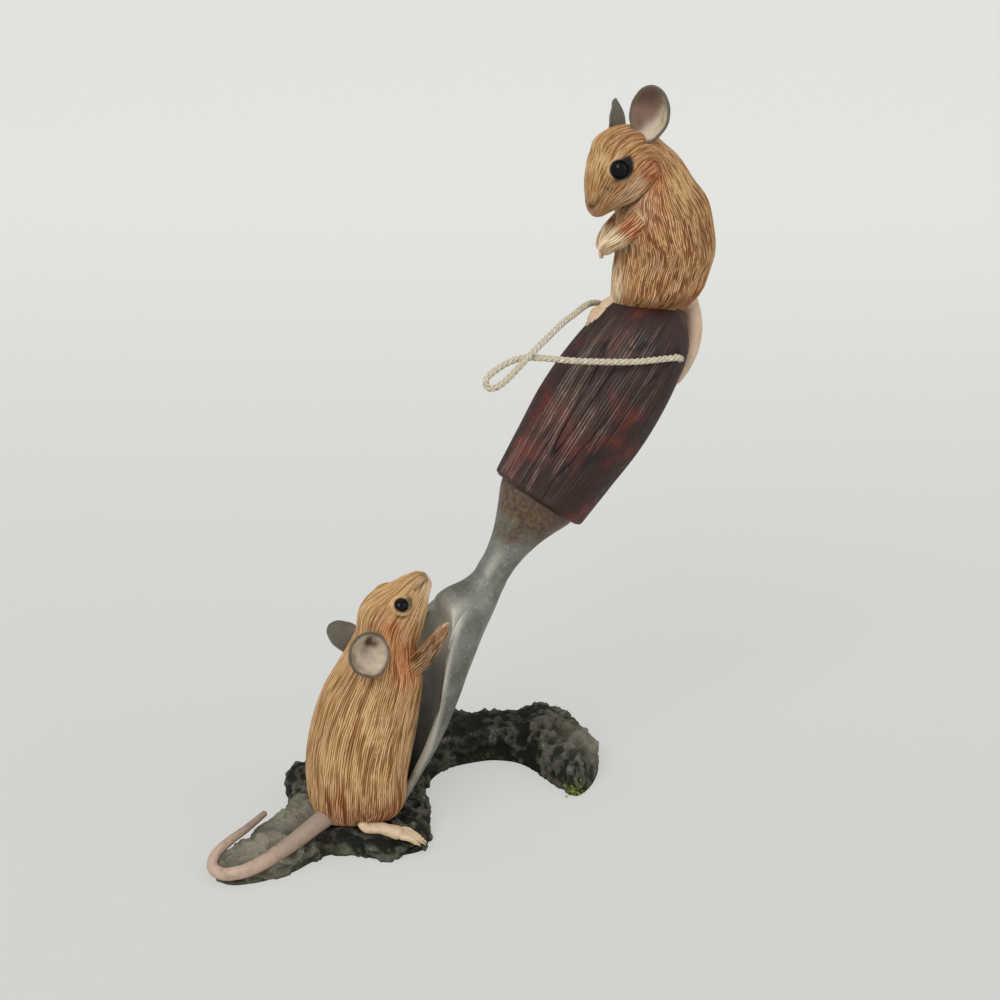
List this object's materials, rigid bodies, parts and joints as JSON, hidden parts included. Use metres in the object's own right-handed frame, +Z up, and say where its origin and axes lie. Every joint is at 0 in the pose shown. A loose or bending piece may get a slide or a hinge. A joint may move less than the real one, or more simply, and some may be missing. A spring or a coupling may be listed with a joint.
{
  "type": "mouse figurine",
  "caption": "Cold-cast ornament of field mice on a garden trowel that leans out of a clod of earth, with a cord loop through the handle.",
  "frame": {"origin": "on the flat underside of the clod of earth, straight below the point of the blade", "axes": "+Z up; +X the way the trowel leans; the plane Y = 0 is the plane that the trowel leans in, and -Y is the side in view"},
  "size_m": [0.1671, 0.0775, 0.2252],
  "materials": {
    "earth": "rough cast resin, painted as dark earth with moss on its edges",
    "trowel_metal": "cast resin, painted as weathered steel with rust on the socket",
    "handle_wood": "cast resin with carved grain, painted as dark red-brown wood",
    "dowel_steel": "plain steel rod, hidden",
    "cord_cotton": "twisted cotton cord, cream, stiffened",
    "fur": "cast resin with carved fur, painted ginger-tan",
    "ear_skin": "cast resin, painted grey-brown outside and dusky pink inside",
    "eye_bead": "polished black bead",
    "foot_skin": "cast resin, painted pale pink",
    "upper_tail_skin": "cast resin, painted cream-pink",
    "lower_tail_skin": "cast resin, painted mauve-brown that fades to pink"
  },
  "bodies": {
    "root": {"earth_base": "earth", "trowel_blade": "trowel_metal", "trowel_handle": "handle_wood", "handle_dowel": "dowel_steel", "hanging_cord": "cord_cotton", "upper_mouse_body": "fur", "upper_mouse_head": "fur", "upper_mouse_left_ear": "ear_skin", "upper_mouse_right_ear": "ear_skin", "upper_mouse_left_eye": "eye_bead", "upper_mouse_right_eye": "eye_bead", "upper_mouse_left_arm": "fur", "upper_mouse_right_arm": "fur", "upper_mouse_left_foot": "foot_skin", "upper_mouse_right_foot": "foot_skin", "upper_mouse_tail": "upper_tail_skin", "lower_mouse_body": "fur", "lower_mouse_head": "fur", "lower_mouse_left_ear": "ear_skin", "lower_mouse_right_ear": "ear_skin", "lower_mouse_left_eye": "eye_bead", "lower_mouse_right_eye": "eye_bead", "lower_mouse_left_arm": "fur", "lower_mouse_right_arm": "fur", "lower_mouse_left_foot": "foot_skin", "lower_mouse_right_foot": "foot_skin", "lower_mouse_tail": "lower_tail_skin"}
  },
  "joints": []
}
